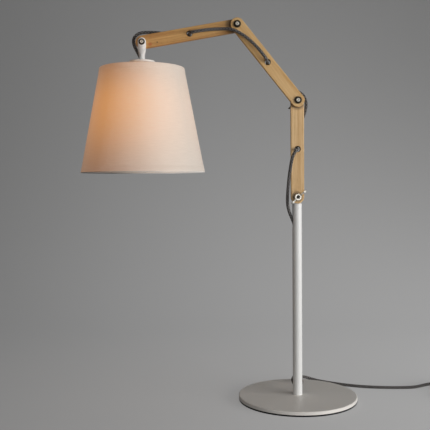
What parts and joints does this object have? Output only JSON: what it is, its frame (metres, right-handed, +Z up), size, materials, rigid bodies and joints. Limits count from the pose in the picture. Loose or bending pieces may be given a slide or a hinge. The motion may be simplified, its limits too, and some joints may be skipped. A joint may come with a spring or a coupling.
{
  "type": "table lamp",
  "caption": "Table lamp with a round steel base and pole, wooden swing arms clamped by wing nuts, a tilting fabric shade, a textile cord threaded through the arms and an in-line switch.",
  "frame": {"origin": "centre of the underside of the pad, on the surface that the lamp stands on", "axes": "+Z up along the pole; the arms swing in planes parallel to XZ and carry the shade towards -X; -Y is the front"},
  "size_m": [0.7154, 0.2484, 0.6429],
  "materials": {
    "white_paint": "satin",
    "pad": "matte",
    "zinc_steel": "bright zinc",
    "wood": "oiled",
    "shade_fabric": "fine weave",
    "holder_white": "gloss",
    "contact_brass": "bright",
    "bulb_glass": "frosted",
    "cord_braid": "braided",
    "black_rubber": "matte",
    "black_plastic": "satin"
  },
  "bodies": {
    "base": {"base_disc": "white_paint", "base_pad": "pad", "base_screw": "zinc_steel", "pole": "white_paint", "pole_foot_plug": "zinc_steel", "pole_tongue": "white_paint", "tongue_washer": "zinc_steel", "lower_pivot_bolt": "zinc_steel", "strain_relief": "black_rubber", "cord_in_pole": "cord_braid", "mains_lead": "cord_braid", "switch_tray": "black_plastic", "switch_cover": "black_plastic", "switch_lead": "cord_braid", "lead_coil": "cord_braid", "coil_tie": "black_rubber", "plug_lead": "cord_braid", "plug_body": "black_plastic", "plug_pins": "zinc_steel"},
    "lower_arm": {"lower_arm": "wood", "lower_arm_washers": "zinc_steel", "cord_lower_stretch": "cord_braid", "cord_middle_stretch": "cord_braid"},
    "middle_arm": {"middle_arm": "wood", "middle_arm_washers": "zinc_steel", "middle_pivot_bolts": "zinc_steel", "cord_upper_stretch": "cord_braid"},
    "upper_arm": {"upper_arm": "wood", "upper_arm_washers": "zinc_steel", "cord_shade_stretch": "cord_braid"},
    "shade_head": {"shade_stem": "white_paint", "shade_pivot_bolt": "zinc_steel", "canopy": "white_paint", "shade_spider": "white_paint", "shade_bottom_ring": "white_paint", "shade_skin": "shade_fabric", "stem_nut": "zinc_steel", "lampholder_cap": "holder_white", "lampholder_skirt": "holder_white", "lampholder_insert": "holder_white", "lampholder_contacts": "contact_brass", "bulb_cap": "zinc_steel", "bulb_contact": "contact_brass", "bulb_glass": "bulb_glass", "cord_in_stem": "cord_braid"},
    "lower_wing_nut": {"lower_wing_nut": "zinc_steel"},
    "elbow_wing_nut": {"elbow_wing_nut": "zinc_steel"},
    "upper_wing_nut": {"upper_wing_nut": "zinc_steel"},
    "shade_wing_nut": {"shade_wing_nut": "zinc_steel"},
    "switch_rocker": {"switch_rocker": "black_plastic"}
  },
  "joints": [
    {"name": "lower_arm_tilt", "type": "hinge", "parent": "base", "child": "lower_arm", "pos_m": [0, 0, 0.344], "axis": [0, -1, 0], "range_deg": [-60, 60], "deforming": ["cord_lower_stretch"]},
    {"name": "middle_arm_tilt", "type": "hinge", "parent": "lower_arm", "child": "middle_arm", "pos_m": [0, 0, 0.504], "axis": [0, -1, 0], "range_deg": [-120, 40], "deforming": ["cord_middle_stretch"]},
    {"name": "upper_arm_tilt", "type": "hinge", "parent": "middle_arm", "child": "upper_arm", "pos_m": [-0.0996, 0, 0.62922], "axis": [0, 1, 0], "range_deg": [-25, 120], "deforming": ["cord_upper_stretch"]},
    {"name": "shade_tilt", "type": "hinge", "parent": "upper_arm", "child": "shade_head", "pos_m": [-0.25741, 0, 0.60281], "axis": [0, -1, 0], "range_deg": [-90, 18], "deforming": ["cord_shade_stretch"]},
    {"name": "lower_nut_turn", "type": "hinge", "parent": "base", "child": "lower_wing_nut", "pos_m": [0, -0.0124, 0.344], "axis": [0, -1, 0], "range_deg": [0, 180]},
    {"name": "elbow_nut_turn", "type": "hinge", "parent": "middle_arm", "child": "elbow_wing_nut", "pos_m": [0, 0, 0.504], "axis": [0, 1, 0], "range_deg": [0, 180]},
    {"name": "upper_nut_turn", "type": "hinge", "parent": "middle_arm", "child": "upper_wing_nut", "pos_m": [-0.0996, 0, 0.62922], "axis": [0, 1, 0], "range_deg": [0, 180]},
    {"name": "shade_nut_turn", "type": "hinge", "parent": "shade_head", "child": "shade_wing_nut", "pos_m": [-0.25741, 0, 0.60281], "axis": [0, 1, 0], "range_deg": [0, 180]},
    {"name": "rocker_tilt", "type": "hinge", "parent": "base", "child": "switch_rocker", "pos_m": [0.279, 0.054, 0.0141], "axis": [0, -1, 0], "range_deg": [0, 14]}
  ]
}
